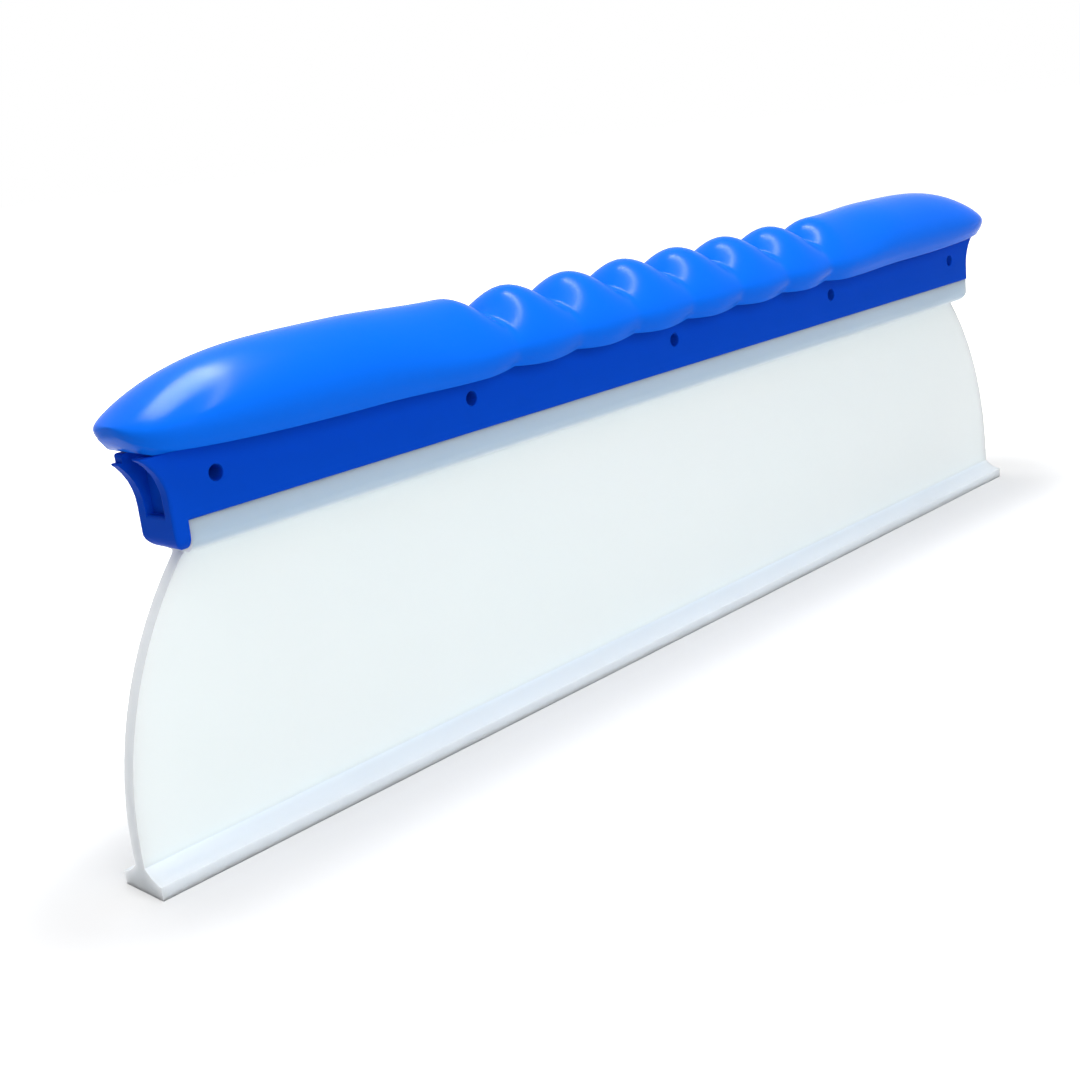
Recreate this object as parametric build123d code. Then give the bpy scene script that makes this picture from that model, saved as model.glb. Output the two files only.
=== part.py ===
from build123d import *
from math import cos, pi, radians, sin, sqrt
import os

# Hand-held silicone water blade. Millimetres, +Z up, X along the wiping edge, front towards -Y.
# The blade's bead slides in from the open +X end and butts against the stop at the -X end.
# The origin is the middle of the T foot's flat sole, and Y = 0 is the middle of the blade.

# Silicone blade
edge_length = 305.0
flap_thickness = 3.0
lip_tip = 2.6
lip_reach = 4.5
lip_slope = 2.4
lip_hollow_radius = 8.0
flare_start_z = 8.0
bead_bottom_z = 57.5
bead_height = 6.0
bead_inset = 0.5
bead_round = 2.4
root_fillet = 0.8
root_length = 268.0

# Jaws that clamp the blade's tongue
jaw_height = 13.0
jaw_depth = 11.0
jaw_wall = 2.7
stop_length = 3.0
stop_lift = 0.8
stop_round = 2.6
stop_edge_round = 2.6
front_flare_rise = 4.0
front_flare_out = 4.5
front_end_drop = 0.65
raised_inset = 4.0
rear_flare_rise = 2.5
rear_flare_out = 3.8
rear_end_drop = 2.2
rear_end_step = 1.2
plate_edge_round = 0.5
web_thickness = 1.4
pocket_floor = 1.0

# Deck on the front jaw that carries the cover
deck_thickness = 2.0
deck_half_width = 7.6
deck_end_inset = 6.0

# Grip cover
cover_overhang = 5.8
cover_half_width = 13.0
skirt_drop = 1.3
skirt_height = 5.0
dome_height = 11.1
nose_height = 1.2
lip_ratio = 0.87
lip_rise = 1.8
turn_length = 8.5
nose_length = 26.0
plan_power = 3.2
crown_length = 47.0
crown_power = 3.6
dome_side = 0.45
dome_crown = 0.58
cavity_shoulder = 1.2
cavity_height = 4.5

# Finger waves of the grip
wave_pitch = 18.8
wave_lobes = 6
wave_depth = 5.1
wave_power = 1.5
wave_pinch = 1.4
wave_lip_drop = 0.7
wave_dip = 1.0
wave_ridge_dip = 1.7
wave_dome_side = 0.2
dip_blend = 28.0

# Sections that the cover's outside is lofted through
lobe_steps = 6
side_steps = 6
nose_steps = 8
nose_angle = 84.0

# Clamp screws
screw_pitch = 65.3
screw_end_margin = 7.0
screw_rise = 6.8
screw_diameter = 2.7
screw_head_diameter = 5.6
screw_tip_recess = 4.5
drive_width = 0.9
drive_length = 3.2
drive_depth = 1.1
boss_diameter = 6.0

# Clearances
slip = 0.15
thread_gap = 0.1
hole_gap = 0.25
end_gap = 0.3
tongue_gap = 1.5

# Worked out from the sizes above
half_edge = edge_length / 2
half_root = root_length / 2
half_jaw = half_root + stop_length
raised_half = half_root - raised_inset
half_cover = half_jaw + cover_overhang
half_depth = jaw_depth / 2
tongue_half = half_depth - jaw_wall
foot_half = flap_thickness / 2 + lip_reach
foot_height = lip_tip + lip_slope
jaw_low_z = bead_bottom_z + bead_height
stop_low_z = bead_bottom_z + stop_lift
screw_z = jaw_low_z + screw_rise
deck_low_z = jaw_low_z + jaw_height
deck_top_z = deck_low_z + deck_thickness
tongue_top_z = deck_low_z - tongue_gap
front_end_top_z = deck_low_z - front_end_drop
rear_end_top_z = deck_low_z - rear_end_drop
lip_z = deck_low_z - skirt_drop
ridge_z = lip_z + skirt_height
cover_top_z = ridge_z + dome_height
crown_drop = dome_height - nose_height
wave_half = wave_pitch * wave_lobes / 2
screw_end = half_root - screw_end_margin
screw_places = [-screw_end, -screw_pitch, 0, screw_pitch, screw_end]


def along_y(face, start, end):
    """Extrude an XZ face from Y = start to Y = end."""
    return extrude(Plane.XZ.offset(-end) * face, end - start, dir=(0, -1, 0))


def both_ends(half):
    """Add the mirror image of a half that lies on the +X side."""
    return half + mirror(half, Plane.YZ)


def elliptic_bar(half_length, half_width, taper):
    """Plan outline with straight sides and half-ellipse ends."""
    straight = half_length - taper
    right = EllipticalCenterArc((straight, 0), taper, half_width, -90, arc_size=180)
    left = EllipticalCenterArc((-straight, 0), taper, half_width, 90, arc_size=180)
    top = Line((straight, half_width), (-straight, half_width))
    bottom = Line((-straight, -half_width), (straight, -half_width))
    return make_face(Curve() + [right, top, left, bottom])


def blade_profile():
    """Half section of the blade in YZ: T foot, flap, bead and tongue, mirrored about Y = 0."""
    flap = flap_thickness / 2
    bead = half_depth - bead_inset
    bead_corner = min(bead_round, bead - flap - root_fillet)
    foot = Polyline((0, 0), (foot_half, 0), (foot_half, lip_tip))
    hollow = RadiusArc((foot_half, lip_tip), (flap, foot_height), lip_hollow_radius)
    face_line = Line((flap, foot_height), (flap, bead_bottom_z - root_fillet))
    root = RadiusArc(face_line @ 1, (flap + root_fillet, bead_bottom_z), root_fillet)
    under = Line(root @ 1, (bead - bead_corner, bead_bottom_z))
    corner = RadiusArc(under @ 1, (bead, bead_bottom_z + bead_corner), -bead_corner)
    upper = Polyline(
        corner @ 1,
        (bead, jaw_low_z),
        (tongue_half, jaw_low_z),
        (tongue_half, tongue_top_z),
        (0, tongue_top_z),
        (0, 0),
    )
    half = make_face(Curve() + [foot, hollow, face_line, root, under, corner, upper])
    return half + mirror(half, Plane.YZ)


def blade_outline():
    """Front view of the blade: a wide edge that curves in to the clamped root, and a bead out to the open end."""
    root = half_root - end_gap
    side = Line((half_edge, 0), (half_edge, flare_start_z))
    flare = TangentArc(side @ 1, (root, bead_bottom_z), tangent=(0, 1))
    rest = Polyline(flare @ 1, (root, tongue_top_z), (0, tongue_top_z), (0, 0), side @ 0)
    half = make_face(Curve() + [side, flare, rest])
    bead_end = Pos(half_jaw, jaw_low_z) * Rectangle(2 * stop_length, bead_height, align=(Align.MAX, Align.MAX))
    corner = bead_end.vertices().group_by(Axis.Y)[0].sort_by(Axis.X)[-1]
    return both_ends(half) + fillet(corner, stop_round)


def make_blade():
    section = extrude(Plane.YZ * blade_profile(), half_edge, both=True)
    outline = along_y(blade_outline(), -jaw_depth, jaw_depth)
    blade = section & outline
    hole = Cylinder(boss_diameter / 2 + hole_gap, jaw_depth, rotation=(90, 0, 0))
    return blade - [Pos(x, 0, screw_z) * hole for x in screw_places]


def jaw_bottom(stopped):
    """Lower edge of half a jaw from the middle out: plain, or with the stop that the bead butts against."""
    if not stopped:
        return [Line((0, jaw_low_z), (half_jaw, jaw_low_z))]
    edge = Polyline(
        (0, jaw_low_z), (half_root, jaw_low_z), (half_root, stop_low_z), (half_jaw - stop_round, stop_low_z)
    )
    return [edge, RadiusArc(edge @ 1, (half_jaw, stop_low_z + stop_round), -stop_round)]


def jaw_outline(flare_rise, flare_end, end_top_z, shoulder, middle_top_z):
    """Front view of a jaw: both ends flare out at the top, and the -X end has a stop below."""
    halves = []
    for stopped in (False, True):
        bottom = jaw_bottom(stopped)
        side = Line(bottom[-1] @ 1, (half_jaw, jaw_low_z + flare_rise))
        flare = TangentArc(side @ 1, (flare_end, end_top_z), tangent=(0, 1))
        top = Polyline(
            flare @ 1, (shoulder, end_top_z), (shoulder, middle_top_z), (0, middle_top_z), bottom[0] @ 0
        )
        halves.append(make_face(Curve() + [*bottom, side, flare, top]))
    return halves[0] + mirror(halves[1], Plane.YZ)


def front_outline():
    return jaw_outline(front_flare_rise, half_jaw + front_flare_out, front_end_top_z, raised_half, deck_low_z)


def rear_outline():
    corner = half_jaw + rear_flare_out
    return jaw_outline(rear_flare_rise, corner, rear_end_top_z, corner - rear_end_step, front_end_top_z)


def soften(jaw, face_y):
    """Round a jaw's end stop along the bottom, and the plate's lower outside edge."""
    tall = cover_top_z - stop_low_z
    envelope = Pos(0, stop_low_z) * Rectangle(jaw_depth, tall, align=(Align.CENTER, Align.MIN))
    envelope = fillet(envelope.vertices().group_by(Axis.Y)[0], stop_edge_round)
    jaw &= extrude(Plane.YZ * envelope, half_edge, both=True)
    edges = jaw.edges().filter_by(Axis.X).filter_by_position(Axis.Y, face_y, face_y)
    return fillet(edges.filter_by_position(Axis.Z, jaw_low_z, jaw_low_z), plate_edge_round)


def end_blocks():
    """Ends of the front jaw between the plates: a web across each, and outside it a pocket with a floor."""
    quarter = Rectangle(half_edge, cover_top_z, align=(Align.MIN, Align.MIN))
    pocket = Pos(half_root + web_thickness, jaw_low_z + pocket_floor) * quarter
    ends = both_ends(Pos(half_root, 0) * quarter - pocket)
    return along_y(front_outline() & ends, -tongue_half, tongue_half)


def make_front_jaw():
    plate = along_y(front_outline(), -half_depth, -tongue_half)
    plate = soften(plate, -half_depth)
    boss = Cylinder(boss_diameter / 2, 2 * tongue_half, rotation=(90, 0, 0))
    deck = elliptic_bar(half_cover - deck_end_inset, deck_half_width, nose_length - deck_end_inset)
    jaw = plate + end_blocks() + extrude(Pos(0, 0, deck_low_z) * deck, deck_thickness)
    jaw += [Pos(x, 0, screw_z) * boss for x in screw_places]
    bore = Cylinder(screw_diameter / 2 + thread_gap, 2 * jaw_depth, rotation=(90, 0, 0))
    return jaw - [Pos(x, 0, screw_z) * bore for x in screw_places]


def screw_body(gap, tip_y, head_y):
    """Countersunk screw along Y, grown by a gap all round, with its head face at head_y."""
    shank = screw_diameter / 2 + gap
    head = screw_head_diameter / 2 + gap
    profile = Polyline(
        (0, tip_y), (shank, tip_y), (shank, head_y - (head - shank)), (head, head_y), (0, head_y), (0, tip_y)
    )
    return revolve(make_face(profile), Axis.Y)


def make_rear_jaw():
    jaw = along_y(rear_outline(), tongue_half, half_depth)
    jaw = soften(jaw, half_depth)
    hole = screw_body(thread_gap, 0, half_depth)
    return jaw - [Pos(x, 0, screw_z) * hole for x in screw_places]


def make_screws():
    screw = screw_body(0, screw_tip_recess - half_depth, half_depth)
    slot = Pos(0, half_depth - drive_depth / 2, 0) * Box(drive_length, drive_depth, drive_width)
    screw -= slot + Rot(0, 90, 0) * slot
    return [Pos(x, 0, screw_z) * screw for x in screw_places]


def blend(value, start, end):
    """Smooth step from 0 at start to 1 at end."""
    share = min(max((value - start) / (end - start), 0), 1)
    return (1 - cos(pi * share)) / 2


def cover_section(x):
    """Closed section of the cover's outside at one place along X."""
    place = abs(x)
    shoulder = wave_half + wave_pitch / 2
    nose = max(0, (place - half_cover + nose_length) / nose_length)
    crown = max(0, (place - half_cover + crown_length) / crown_length)
    turn = max(0, (place - half_cover + turn_length) / turn_length)
    off_crest = abs((place - wave_half) % wave_pitch - wave_pitch / 2) / (wave_pitch / 2)
    valley = off_crest**wave_power if place < shoulder else 0
    waved = 1 - blend(place, shoulder, shoulder + dip_blend)
    width = (cover_half_width - wave_pinch * valley) * (1 - nose**plan_power) ** (1 / plan_power)
    top = cover_top_z - crown_drop * crown**crown_power - wave_depth * valley - wave_dip * waved
    ridge = ridge_z - wave_ridge_dip * waved
    low = lip_z + lip_rise * crown**2 - wave_lip_drop * waved * (1 - valley)
    low += (ridge_z - lip_z - lip_rise) * (1 - sqrt(1 - turn**2))
    lip = width * lip_ratio
    pull = dome_side + (wave_dome_side - dome_side) * waved
    skirt = Bezier((lip, low), (width, (low + ridge) / 2), (width, ridge))
    dome = Bezier(skirt @ 1, (width, ridge + pull * (top - ridge)), (dome_crown * width, top), (0, top))
    right = [skirt, dome]
    left = [mirror(edge, Plane.YZ) for edge in right]
    return Plane.YZ.offset(x) * make_face(Curve() + right + left + [Line((-lip, low), (lip, low))])


def make_cover():
    """Outside lofted as one lobe that repeats and one end that is mirrored, then hollowed for the deck."""
    step = wave_pitch / lobe_steps
    lobe = loft([cover_section(wave_half - step * i) for i in range(lobe_steps + 1)], ruled=True)
    straight = half_cover - nose_length
    shoulder = wave_half + wave_pitch / 2
    places = [wave_half + step * i for i in range(lobe_steps // 2)]
    places += [shoulder + (straight - shoulder) * i / side_steps for i in range(side_steps)]
    places += [straight + nose_length * sin(radians(nose_angle * i / nose_steps)) for i in range(nose_steps + 1)]
    end = loft([cover_section(x) for x in places], ruled=True)
    outside = end + mirror(end, Plane.YZ)
    outside += [Pos(-wave_pitch * i, 0, 0) * lobe for i in range(wave_lobes)]
    seat_inset = deck_end_inset - slip
    seat = elliptic_bar(half_cover - seat_inset, deck_half_width + slip, nose_length - seat_inset)
    core_inset = deck_end_inset + cavity_shoulder
    core = elliptic_bar(half_cover - core_inset, deck_half_width - cavity_shoulder, nose_length - core_inset)
    cavity = extrude(Pos(0, 0, deck_low_z) * core, deck_thickness + cavity_height)
    return outside - cavity - extrude(Pos(0, 0, bead_bottom_z) * seat, deck_top_z - bead_bottom_z)


os.makedirs("parts", exist_ok=True)
pieces = {
    "grip_cover": make_cover(),
    "silicone_blade": make_blade(),
    "front_jaw": make_front_jaw(),
    "rear_jaw": make_rear_jaw(),
    "clamp_screws": Compound(children=make_screws()),
}
for node, shape in pieces.items():
    export_step(shape, f"parts/{node}.step")
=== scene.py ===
from math import cos, pi, radians, sin, sqrt

import bmesh
import bpy
from mathutils import Matrix, Vector


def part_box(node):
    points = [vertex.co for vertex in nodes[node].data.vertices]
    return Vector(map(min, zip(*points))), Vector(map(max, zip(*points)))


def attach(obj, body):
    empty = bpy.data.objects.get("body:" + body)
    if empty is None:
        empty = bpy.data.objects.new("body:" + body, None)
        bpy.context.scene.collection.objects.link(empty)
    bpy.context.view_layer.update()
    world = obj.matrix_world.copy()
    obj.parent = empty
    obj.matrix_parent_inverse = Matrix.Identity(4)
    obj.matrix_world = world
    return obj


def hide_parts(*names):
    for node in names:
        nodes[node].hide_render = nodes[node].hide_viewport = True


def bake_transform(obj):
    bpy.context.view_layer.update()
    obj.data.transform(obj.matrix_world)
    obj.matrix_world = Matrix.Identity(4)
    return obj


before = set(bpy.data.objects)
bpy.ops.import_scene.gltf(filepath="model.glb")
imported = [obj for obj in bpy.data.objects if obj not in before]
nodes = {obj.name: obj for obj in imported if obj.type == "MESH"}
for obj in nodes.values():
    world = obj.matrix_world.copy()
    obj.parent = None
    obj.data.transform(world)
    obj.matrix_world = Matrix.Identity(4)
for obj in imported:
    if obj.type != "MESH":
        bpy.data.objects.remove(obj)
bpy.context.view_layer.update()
mm = 0.001

# Camera of the photograph
camera_place = (-267.5 * mm, -223.1 * mm, 122.7 * mm)
camera_azimuth = radians(-44.89)
camera_elevation = radians(15.66)
camera_roll = radians(6.54)
camera_lens = 50.0

# Grip cover: outline of the moulding
half_cover = 142.7 * mm
cover_half_width = 12.98 * mm
cover_top_z = 91.28 * mm
ridge_z = 80.2 * mm
lip_z = 75.2 * mm
lip_ratio = 0.87
lip_bevel = 0.6 * mm
lip_rise = 1.8 * mm
turn_length = 8.5 * mm
nose_length = 26.0 * mm
plan_power = 3.2
crown_length = 47.0 * mm
crown_drop = 9.9 * mm
crown_power = 3.6
dome_side = 0.45
dome_crown = 0.58

# Grip cover: finger waves
wave_pitch = 18.8 * mm
wave_lobes = 6
wave_depth = 5.1 * mm
wave_power = 1.8
wave_pinch = 1.4 * mm
flank_fill = 0.5
wave_lip_drop = 0.7 * mm
wave_dip = 1.0 * mm
wave_ridge_dip = 1.7 * mm
wave_dome_side = 0.2
valley_softness = 0.15
valley_fade = 1.6
dip_blend = 28.0 * mm

# Grip cover: seat for the deck of the front jaw
seat_half_width = 7.75 * mm
seat_half_length = half_cover - 5.85 * mm
seat_roof_z = 78.5 * mm
pad_z = 76.15 * mm
pad_ratio = 0.8
pad_length = 4.2 * mm

# Grip cover: divisions of the mesh
lobe_columns = 16
end_columns = 56
dome_rows = 16
skirt_rows = 6
bevel_rows = 2
under_rows = 5

# Jaws: how far their hard edges are eased
parting_y = 2.8 * mm
jaw_end = 135.6 * mm
end_round = 0.55 * mm
edge_round = 0.2 * mm
round_segments = 3
hard_edge = radians(40)

# Silicone blade: the mouth of the jaws and the top of its foot, and the spacing of the cuts into
# its mesh
mouth_z = 57.5 * mm
foot_top_z = 5.0 * mm
bend_cut = 3.5 * mm
length_cut = 10.0 * mm

# Silicone blade: where its tones change, by height and by how far a face looks along the blade;
# these are painted shade, on the bead mixed with the deeper tone of thick silicone
bead_blend = 1.5 * mm
foot_blend = 1.0 * mm
end_shade_start = 0.4
end_shade_full = 0.7

# Meshes: how near points are joined, and how sharp an edge has to be to stay sharp
join_gap = 0.002 * mm
seam_gap = 0.005 * mm
cut_gap = 0.001 * mm
line_gap = 0.01 * mm
flat_angle = radians(0.5)
sharp_angle = radians(30)
cover_sharp_angle = radians(50)
dome_smooth_z = seat_roof_z + 1.0 * mm

# Floor: its own shade, and how it lightens to plain white away from the foot
floor_half = 6.0
floor_shade = (0.55, 0.55, 0.55)
floor_lift = 0.22
floor_near = 12.0 * mm
floor_far = 70.0 * mm
foot_half_length = 152.5 * mm

# Worked out from the sizes above
shoulder = wave_pitch * (wave_lobes + 1) / 2
wave_half = wave_pitch * wave_lobes / 2
wave_columns = lobe_columns * (wave_lobes + 1) // 2
columns = 2 * (wave_columns + end_columns)
lip_row = dome_rows + skirt_rows
half_rows = lip_row + bevel_rows + under_rows


def new_piece(name, bm, material, node, body="handle"):
    """Turn a finished bmesh into a piece that stands for one CAD node and rides on a body."""
    mesh = bpy.data.meshes.new(name)
    bm.to_mesh(mesh)
    bm.free()
    piece = bpy.data.objects.new(name, mesh)
    bpy.context.scene.collection.objects.link(piece)
    mesh.materials.append(material)
    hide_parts(node)
    if body:
        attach(piece, body)
    return piece


def merged_copy(node):
    """Copy of a CAD node's mesh: its loose triangles joined and its flat faces made whole."""
    bm = bmesh.new()
    bm.from_mesh(nodes[node].data)
    bmesh.ops.remove_doubles(bm, verts=bm.verts, dist=join_gap)
    bmesh.ops.dissolve_limit(bm, angle_limit=flat_angle, verts=bm.verts, edges=bm.edges)
    return bm


def smooth_by_angle(bm, angle):
    """Shade the whole mesh smooth, apart from edges sharper than the angle."""
    for face in bm.faces:
        face.smooth = True
    for edge in bm.edges:
        edge.smooth = edge.is_manifold and edge.calc_face_angle() < angle


# Grip cover

def ease(value, start, end):
    share = min(max((value - start) / (end - start), 0), 1)
    return (1 - cos(pi * share)) / 2


def column_place(column):
    """X of one column: even over the waves, closing up towards the two noses."""
    side = -1 if column < 0 else 1
    beyond = abs(column) - wave_columns
    if beyond <= 0:
        return column * shoulder / wave_columns
    return side * (shoulder + (half_cover - shoulder) * sin(pi / 2 * beyond / end_columns))


def cover_point(x, row):
    """Place on the cover at x: row 0 is the crown, then ridge, lip, underside and seat's middle."""
    place = min(abs(x), half_cover)
    nose = max(0, (place - half_cover + nose_length) / nose_length)
    crown = max(0, (place - half_cover + crown_length) / crown_length)
    turn = max(0, (place - half_cover + turn_length) / turn_length)
    off_crest = abs((place - wave_half) % wave_pitch - wave_pitch / 2) / (wave_pitch / 2)
    soft = valley_softness * sin(pi * min(row / lip_row, 1))
    valley = off_crest**wave_power + soft * (ease(off_crest, 0, 1) - off_crest**wave_power)
    valley = valley if place < shoulder else 0
    waved = 1 - ease(place, shoulder, shoulder + dip_blend)
    pinch = wave_pinch * (1 - flank_fill * sin(pi * min(row / lip_row, 1)))
    width = (cover_half_width - pinch * valley) * (1 - nose**plan_power) ** (1 / plan_power)
    top = cover_top_z - crown_drop * crown**crown_power - wave_dip * waved
    ridge = ridge_z - wave_ridge_dip * waved
    low = lip_z + lip_rise * crown**2 - wave_lip_drop * waved * (1 - valley)
    low += (ridge_z - lip_z - lip_rise) * (1 - sqrt(max(0, 1 - turn**2)))
    bevel = lip_bevel * width / cover_half_width
    lip = width * lip_ratio
    if row <= dome_rows:
        share = row / dome_rows
        out = 3 * (1 - share) ** 2 * share * dome_crown + 3 * (1 - share) * share**2 + share**3
        side = dome_side + (wave_dome_side - dome_side) * waved
        up = (1 - share) ** 3 + 3 * (1 - share) ** 2 * share + 3 * (1 - share) * share**2 * side
        return x, width * out, ridge + (top - ridge) * up - wave_depth * valley * up**valley_fade
    row -= dome_rows
    if row <= skirt_rows:
        height = 1 - row / skirt_rows
        out = lip + (width - lip) * (2 * height - height**2)
        return x, out, low + bevel + (ridge - low - bevel) * height
    row -= skirt_rows
    if row <= bevel_rows:
        angle = pi / 2 * row / bevel_rows
        return x, lip - bevel * (1 - cos(angle)), low + bevel * (1 - sin(angle))
    row -= bevel_rows
    seat_run = seat_half_length - half_cover + nose_length
    end = max(0, (place - half_cover + nose_length) / seat_run)
    inner = pad_ratio * (lip - bevel)
    seat = min(seat_half_width * sqrt(max(0, 1 - end**2)), inner)
    under = low - max(0, low - pad_z) * ease(half_cover - place, 0, pad_length)
    roof = seat_roof_z if seat > 0 else under
    out = (inner, seat, seat, seat / 2, 0)[row - 1]
    return x, out, (under, under, roof, roof, roof)[row - 1]


def make_cover(material):
    """Grid wrapped round the section at every column, closed under the noses."""
    bm = bmesh.new()
    bmesh.ops.create_grid(bm, x_segments=columns, y_segments=2 * half_rows, size=1)
    for vert in bm.verts:
        column = round(vert.co.x * columns / 2)
        row = round(vert.co.y * half_rows)
        x, y, z = cover_point(column_place(column), abs(row))
        vert.co = (x, -y if row < 0 else y, z)
    bmesh.ops.remove_doubles(bm, verts=bm.verts, dist=seam_gap)
    bmesh.ops.recalc_face_normals(bm, faces=bm.faces)
    if bm.calc_volume(signed=True) < 0:
        bmesh.ops.reverse_faces(bm, faces=bm.faces)
    smooth_by_angle(bm, cover_sharp_angle)
    for edge in bm.edges:
        if all(vert.co.z > dome_smooth_z for vert in edge.verts):
            edge.smooth = True
    return new_piece("grip_cover_shell", bm, material, "grip_cover")


# Jaws and screws

def make_jaw(name, node, material):
    """Jaw moulding with eased outer edges, rounder at its two ends, and a sharp parting line."""
    bm = merged_copy(node)
    smooth_by_angle(bm, sharp_angle)
    easing = bm.edges.layers.float.new("bevel_weight_edge")
    for edge in bm.edges:
        at_parting = all(abs(vert.co.y - parting_y) < line_gap for vert in edge.verts)
        if edge.is_convex and edge.calc_face_angle(0) > hard_edge and not at_parting:
            at_end = all(abs(vert.co.x) > jaw_end for vert in edge.verts)
            edge[easing] = 1 if at_end else edge_round / end_round
    piece = new_piece(name, bm, material, node)
    rounding = piece.modifiers.new("eased edges", "BEVEL")
    rounding.width = end_round
    rounding.segments = round_segments
    rounding.limit_method = "WEIGHT"
    rounding.use_clamp_overlap = False
    rounding.harden_normals = True
    joined = piece.modifiers.new("joined corners", "WELD")
    joined.merge_threshold = join_gap
    weighted = piece.modifiers.new("even shading", "WEIGHTED_NORMAL")
    weighted.keep_sharp = True
    return piece


def make_screws(material):
    bm = merged_copy("clamp_screws")
    smooth_by_angle(bm, sharp_angle)
    return new_piece("clamp_screw_set", bm, material, "clamp_screws")


# Silicone blade

def make_blade(material):
    """Blade cut into rows below the jaws and into columns along its length."""
    bm = merged_copy("silicone_blade")
    low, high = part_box("silicone_blade")
    rows = int((mouth_z - low[2]) / bend_cut)
    cuts = [((0, 0, mouth_z - bend_cut * i), (0, 0, 1)) for i in range(1, rows)]
    count = int((high[0] - low[0]) / length_cut)
    cuts += [((low[0] + length_cut * i, 0, 0), (1, 0, 0)) for i in range(1, count)]
    for place, normal in cuts:
        geometry = bm.verts[:] + bm.edges[:] + bm.faces[:]
        bmesh.ops.bisect_plane(bm, geom=geometry, dist=cut_gap, plane_co=place, plane_no=normal)
    smooth_by_angle(bm, sharp_angle)
    piece = new_piece("silicone_blade_skin", bm, material, "silicone_blade", body=None)
    weighted = piece.modifiers.new("even shading", "WEIGHTED_NORMAL")
    weighted.keep_sharp = True
    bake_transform(piece)
    return piece


# Materials

def link(tree, source, output, target, socket):
    tree.links.new(source.outputs[output], target.inputs[socket])


def add(tree, kind, **values):
    node = tree.nodes.new(kind)
    for key, value in values.items():
        setattr(node, key, value)
    return node


def moulded_skin():
    """Shared finish of a moulded surface: slow tone drift, uneven gloss and a fine grain."""
    group = bpy.data.node_groups.new("moulded skin", "ShaderNodeTree")
    sockets = group.interface
    for name, kind, default in (
        ("Colour", "NodeSocketColor", (0.5, 0.5, 0.5, 1)),
        ("Drift Colour", "NodeSocketColor", (0.5, 0.5, 0.5, 1)),
        ("Drift Scale", "NodeSocketFloat", 12.0),
        ("Drift Amount", "NodeSocketFloat", 0.5),
        ("Gloss Low", "NodeSocketFloat", 0.3),
        ("Gloss High", "NodeSocketFloat", 0.4),
        ("Grain Scale", "NodeSocketFloat", 2500.0),
    ):
        socket = sockets.new_socket(name=name, in_out="INPUT", socket_type=kind)
        socket.default_value = default
    for name, kind in (
        ("Colour", "NodeSocketColor"),
        ("Roughness", "NodeSocketFloat"),
        ("Grain", "NodeSocketFloat"),
    ):
        sockets.new_socket(name=name, in_out="OUTPUT", socket_type=kind)
    entry = add(group, "NodeGroupInput")
    leave = add(group, "NodeGroupOutput")
    place = add(group, "ShaderNodeTexCoord")
    drift = add(group, "ShaderNodeTexNoise")
    drift.inputs["Detail"].default_value = 3
    grain = add(group, "ShaderNodeTexNoise")
    grain.inputs["Detail"].default_value = 4
    smear = add(group, "ShaderNodeTexNoise")
    smear.inputs["Scale"].default_value = 55
    smear.inputs["Detail"].default_value = 5
    amount = add(group, "ShaderNodeMath", operation="MULTIPLY")
    tone = add(group, "ShaderNodeMix", data_type="RGBA")
    gloss = add(group, "ShaderNodeMapRange")
    for noise in (drift, grain, smear):
        link(group, place, "Object", noise, "Vector")
    link(group, entry, "Drift Scale", drift, "Scale")
    link(group, entry, "Grain Scale", grain, "Scale")
    link(group, drift, "Fac", amount, 0)
    link(group, entry, "Drift Amount", amount, 1)
    link(group, amount, 0, tone, 0)
    group.links.new(entry.outputs["Colour"], tone.inputs[6])
    group.links.new(entry.outputs["Drift Colour"], tone.inputs[7])
    link(group, smear, "Fac", gloss, "Value")
    gloss.inputs["From Min"].default_value = 0.3
    gloss.inputs["From Max"].default_value = 0.7
    link(group, entry, "Gloss Low", gloss, "To Min")
    link(group, entry, "Gloss High", gloss, "To Max")
    group.links.new(tone.outputs[2], leave.inputs["Colour"])
    link(group, gloss, "Result", leave, "Roughness")
    link(group, grain, "Fac", leave, "Grain")
    return group


def moulded_material(
    name, skin, colour, drift_colour, drift_amount, gloss, grain_scale, grain_depth
):
    """Material with the shared finish, given with its shader and its finish node."""
    material = bpy.data.materials.new(name)
    material.use_nodes = True
    tree = material.node_tree
    shader = tree.nodes["Principled BSDF"]
    finish = add(tree, "ShaderNodeGroup", node_tree=skin)
    finish.inputs["Colour"].default_value = (*colour, 1)
    finish.inputs["Drift Colour"].default_value = (*drift_colour, 1)
    finish.inputs["Drift Amount"].default_value = drift_amount
    finish.inputs["Gloss Low"].default_value = gloss[0]
    finish.inputs["Gloss High"].default_value = gloss[1]
    finish.inputs["Grain Scale"].default_value = grain_scale
    bump = add(tree, "ShaderNodeBump")
    bump.inputs["Strength"].default_value = 0.35
    bump.inputs["Distance"].default_value = grain_depth
    link(tree, finish, "Colour", shader, "Base Color")
    link(tree, finish, "Roughness", shader, "Roughness")
    link(tree, finish, "Grain", bump, "Height")
    link(tree, bump, "Normal", shader, "Normal")
    return material, shader, finish


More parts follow.
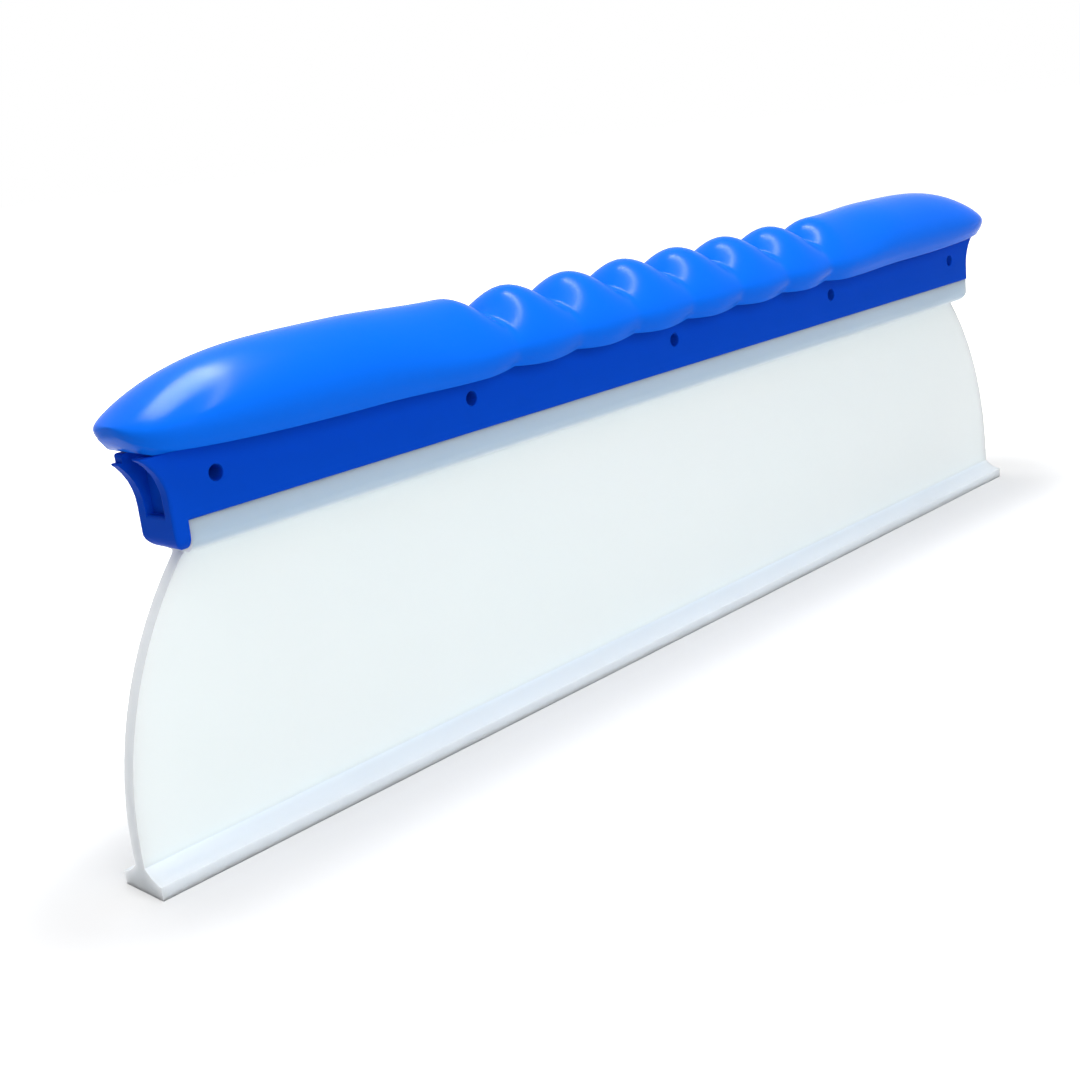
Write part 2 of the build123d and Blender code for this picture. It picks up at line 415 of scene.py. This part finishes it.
def paint_silicone_shade(tree, finish, shader, bead_tone_and_shade, foot_painted_shade, end_face_painted_shade):
    """Painted shade: a darker, bluer bead (partly thick silicone's deeper tone, partly painted
    shade under the cover and painted blue bounce from the jaws), a darker foot and greyer end
    faces.
    """
    place = add(tree, "ShaderNodeTexCoord")
    height = add(tree, "ShaderNodeSeparateXYZ")
    link(tree, place, "Object", height, 0)
    facing = add(tree, "ShaderNodeSeparateXYZ")
    link(tree, place, "Normal", facing, 0)
    endwise = add(tree, "ShaderNodeMath", operation="ABSOLUTE")
    link(tree, facing, "X", endwise, 0)
    colour = finish.outputs["Colour"]
    for tint, source, output, start, full in (
        (bead_tone_and_shade, height, "Z", mouth_z, mouth_z + bead_blend),
        (foot_painted_shade, height, "Z", foot_top_z + foot_blend, foot_top_z - foot_blend),
        (end_face_painted_shade, endwise, 0, end_shade_start, end_shade_full),
    ):
        share = add(tree, "ShaderNodeMapRange", interpolation_type="SMOOTHSTEP")
        share.inputs["From Min"].default_value = start
        share.inputs["From Max"].default_value = full
        link(tree, source, output, share, "Value")
        tone = add(tree, "ShaderNodeMix", data_type="RGBA")
        tone.inputs[7].default_value = (*tint, 1)
        link(tree, share, "Result", tone, 0)
        tree.links.new(colour, tone.inputs[6])
        colour = tone.outputs[2]
    tree.links.new(colour, shader.inputs["Base Color"])


def make_materials():
    skin = moulded_skin()
    grip, shader, _ = moulded_material(
        "grip_plastic",
        skin,
        colour=(0.003, 0.142, 0.84),
        drift_colour=(0.004, 0.164, 0.88),
        drift_amount=0.6,
        gloss=(0.18, 0.23),
        grain_scale=2200,
        grain_depth=0.03 * mm,
    )
    shader.inputs["Specular IOR Level"].default_value = 0.02
    # Jaw plastic: the grip's blue darkened, as painted shade for the jaws under the cover's
    # overhang
    jaw, shader, _ = moulded_material(
        "jaw_plastic",
        skin,
        colour=(0.002, 0.067, 0.575),
        drift_colour=(0.003, 0.076, 0.62),
        drift_amount=0.6,
        gloss=(0.32, 0.4),
        grain_scale=2200,
        grain_depth=0.02 * mm,
    )
    shader.inputs["Specular IOR Level"].default_value = 0.01
    silicone, shader, finish = moulded_material(
        "silicone",
        skin,
        colour=(0.82, 0.91, 1.0),
        drift_colour=(0.87, 0.94, 1.0),
        drift_amount=0.9,
        gloss=(0.3, 0.42),
        grain_scale=900,
        grain_depth=0.02 * mm,
    )
    shader.inputs["IOR"].default_value = 1.41
    shader.inputs["Specular IOR Level"].default_value = 0.15
    shader.inputs["Subsurface Weight"].default_value = 1.0
    shader.inputs["Subsurface Radius"].default_value = (1.0, 1.0, 1.0)
    shader.inputs["Subsurface Scale"].default_value = 5 * mm
    paint_silicone_shade(
        silicone.node_tree,
        finish,
        shader,
        # bead: partly the deeper tone of thick silicone, partly painted shade under the cover and
        # painted blue bounce from the jaws
        bead_tone_and_shade=(0.49, 0.61, 0.73),
        # foot: painted shade, darker where less light passes through the thick foot
        foot_painted_shade=(0.72, 0.78, 0.84),
        # end faces: painted shade, greyer on faces that look along the blade
        end_face_painted_shade=(0.72, 0.75, 0.78),
    )
    steel, shader, _ = moulded_material(
        "screw_steel",
        skin,
        colour=(0.36, 0.36, 0.37),
        drift_colour=(0.46, 0.45, 0.43),
        drift_amount=0.8,
        gloss=(0.25, 0.4),
        grain_scale=3500,
        grain_depth=0.01 * mm,
    )
    shader.inputs["Metallic"].default_value = 1.0
    return grip, jaw, silicone, steel


# Stage

def seen_rays(tree):
    """1 for rays that show the background itself: from the camera, mirrored or let through."""
    rays = add(tree, "ShaderNodeLightPath")
    mirrored = add(tree, "ShaderNodeMath", operation="MAXIMUM")
    seen = add(tree, "ShaderNodeMath", operation="MAXIMUM")
    link(tree, rays, "Is Camera Ray", mirrored, 0)
    link(tree, rays, "Is Glossy Ray", mirrored, 1)
    link(tree, mirrored, 0, seen, 0)
    link(tree, rays, "Is Transmission Ray", seen, 1)
    return seen


def make_floor():
    """Pale floor that shades near the object and runs out to plain white."""
    bm = bmesh.new()
    bmesh.ops.create_grid(bm, x_segments=1, y_segments=1, size=floor_half)
    mesh = bpy.data.meshes.new("floor")
    bm.to_mesh(mesh)
    bm.free()
    floor = bpy.data.objects.new("floor", mesh)
    bpy.context.scene.collection.objects.link(floor)
    material = bpy.data.materials.new("pale floor")
    material.use_nodes = True
    tree = material.node_tree
    shader = tree.nodes["Principled BSDF"]
    shader.inputs["Base Color"].default_value = (*floor_shade, 1)
    shader.inputs["Roughness"].default_value = 0.9
    shader.inputs["Specular IOR Level"].default_value = 0.0
    shader.inputs["Emission Color"].default_value = (1, 1, 1, 1)
    place = add(tree, "ShaderNodeTexCoord")
    parts = add(tree, "ShaderNodeSeparateXYZ")
    along = add(tree, "ShaderNodeMath", operation="ABSOLUTE")
    past_end = add(tree, "ShaderNodeMath", operation="SUBTRACT", use_clamp=True)
    past_end.inputs[1].default_value = foot_half_length
    offset = add(tree, "ShaderNodeCombineXYZ")
    reach = add(tree, "ShaderNodeVectorMath", operation="LENGTH")
    white = add(tree, "ShaderNodeMapRange", interpolation_type="SMOOTHSTEP")
    white.inputs["From Min"].default_value = floor_near
    white.inputs["From Max"].default_value = floor_far
    white.inputs["To Min"].default_value = floor_lift
    white.inputs["To Max"].default_value = 1.0
    shown = add(tree, "ShaderNodeMath", operation="MULTIPLY")
    link(tree, place, "Object", parts, 0)
    link(tree, parts, "X", along, 0)
    link(tree, along, 0, past_end, 0)
    link(tree, past_end, 0, offset, "X")
    link(tree, parts, "Y", offset, "Y")
    link(tree, offset, 0, reach, 0)
    link(tree, reach, "Value", white, "Value")
    link(tree, white, "Result", shown, 0)
    link(tree, seen_rays(tree), 0, shown, 1)
    link(tree, shown, 0, shader, "Emission Strength")
    mesh.materials.append(material)


def make_light(name, place, target, energy, diffuse=True, glossy=True, **values):
    """Area lamp at a place, turned to a target."""
    lamp = bpy.data.lights.new(name, "AREA")
    lamp.energy = energy
    for key, value in values.items():
        setattr(lamp, key, value)
    light = bpy.data.objects.new(name, lamp)
    bpy.context.scene.collection.objects.link(light)
    light.location = place
    aim = Vector(target) - Vector(place)
    light.rotation_euler = aim.to_track_quat("-Z", "Y").to_euler()
    light.visible_camera = False
    light.visible_diffuse = diffuse
    light.visible_glossy = glossy


def make_world():
    """Even pale light, and plain white where the camera or a reflection sees past the floor."""
    world = bpy.data.worlds.new("studio")
    bpy.context.scene.world = world
    world.use_nodes = True
    tree = world.node_tree
    soft = tree.nodes["Background"]
    soft.inputs["Color"].default_value = (0.95, 0.98, 1.0, 1)
    soft.inputs["Strength"].default_value = 0.25
    white = add(tree, "ShaderNodeBackground")
    white.inputs["Strength"].default_value = 1.0
    white.inputs["Color"].default_value = (1, 1, 1, 1)
    mix = add(tree, "ShaderNodeMixShader")
    link(tree, seen_rays(tree), 0, mix, 0)
    link(tree, soft, 0, mix, 1)
    link(tree, white, 0, mix, 2)
    link(tree, mix, 0, tree.nodes["World Output"], "Surface")


def make_camera():
    """Camera that stands where the photograph was taken from."""
    camera = bpy.data.cameras.new("camera")
    camera.lens = camera_lens
    camera.clip_start = 0.01
    eye = bpy.data.objects.new("camera", camera)
    bpy.context.scene.collection.objects.link(eye)
    tilt = Matrix.Rotation(pi / 2 - camera_elevation, 4, "X")
    turn = Matrix.Rotation(camera_azimuth, 4, "Z") @ tilt
    roll = Matrix.Rotation(-camera_roll, 4, "Z")
    eye.matrix_world = Matrix.Translation(camera_place) @ turn @ roll
    bpy.context.scene.camera = eye


bpy.context.scene.view_settings.view_transform = "Standard"
grip_plastic, jaw_plastic, silicone, screw_steel = make_materials()
make_cover(grip_plastic)
make_jaw("front_jaw_moulding", "front_jaw", jaw_plastic)
make_jaw("rear_jaw_moulding", "rear_jaw", jaw_plastic)
make_blade(silicone)
make_screws(screw_steel)

make_camera()
make_world()
make_floor()
# Two lamps that show only in reflections: the streaks on the humps and the gleam on one nose
make_light(
    "streak strip",
    (0.62, -0.45, 2.0),
    (0.62, -0.45, 0),
    energy=130.0,
    diffuse=False,
    shape="RECTANGLE",
    size=0.1,
    size_y=2.8,
)
make_light(
    "nose softbox", (-0.118, 0.035, 0.205), (-0.118, 0.035, 0), energy=1.3, diffuse=False, size=0.08
)
# Three soft lamps that light the surfaces themselves
make_light(
    "overhead softbox", (-0.05, -0.1, 0.9), (0, 0, 0.05), energy=8.2, glossy=False, size=0.8
)
make_light("front key", (-0.2, -0.65, 0.3), (0, 0, 0.03), energy=2.1, glossy=False, size=0.4)
make_light("rear softbox", (0.05, 0.75, 0.5), (0, 0, 0.05), energy=4.4, glossy=False, size=0.8)
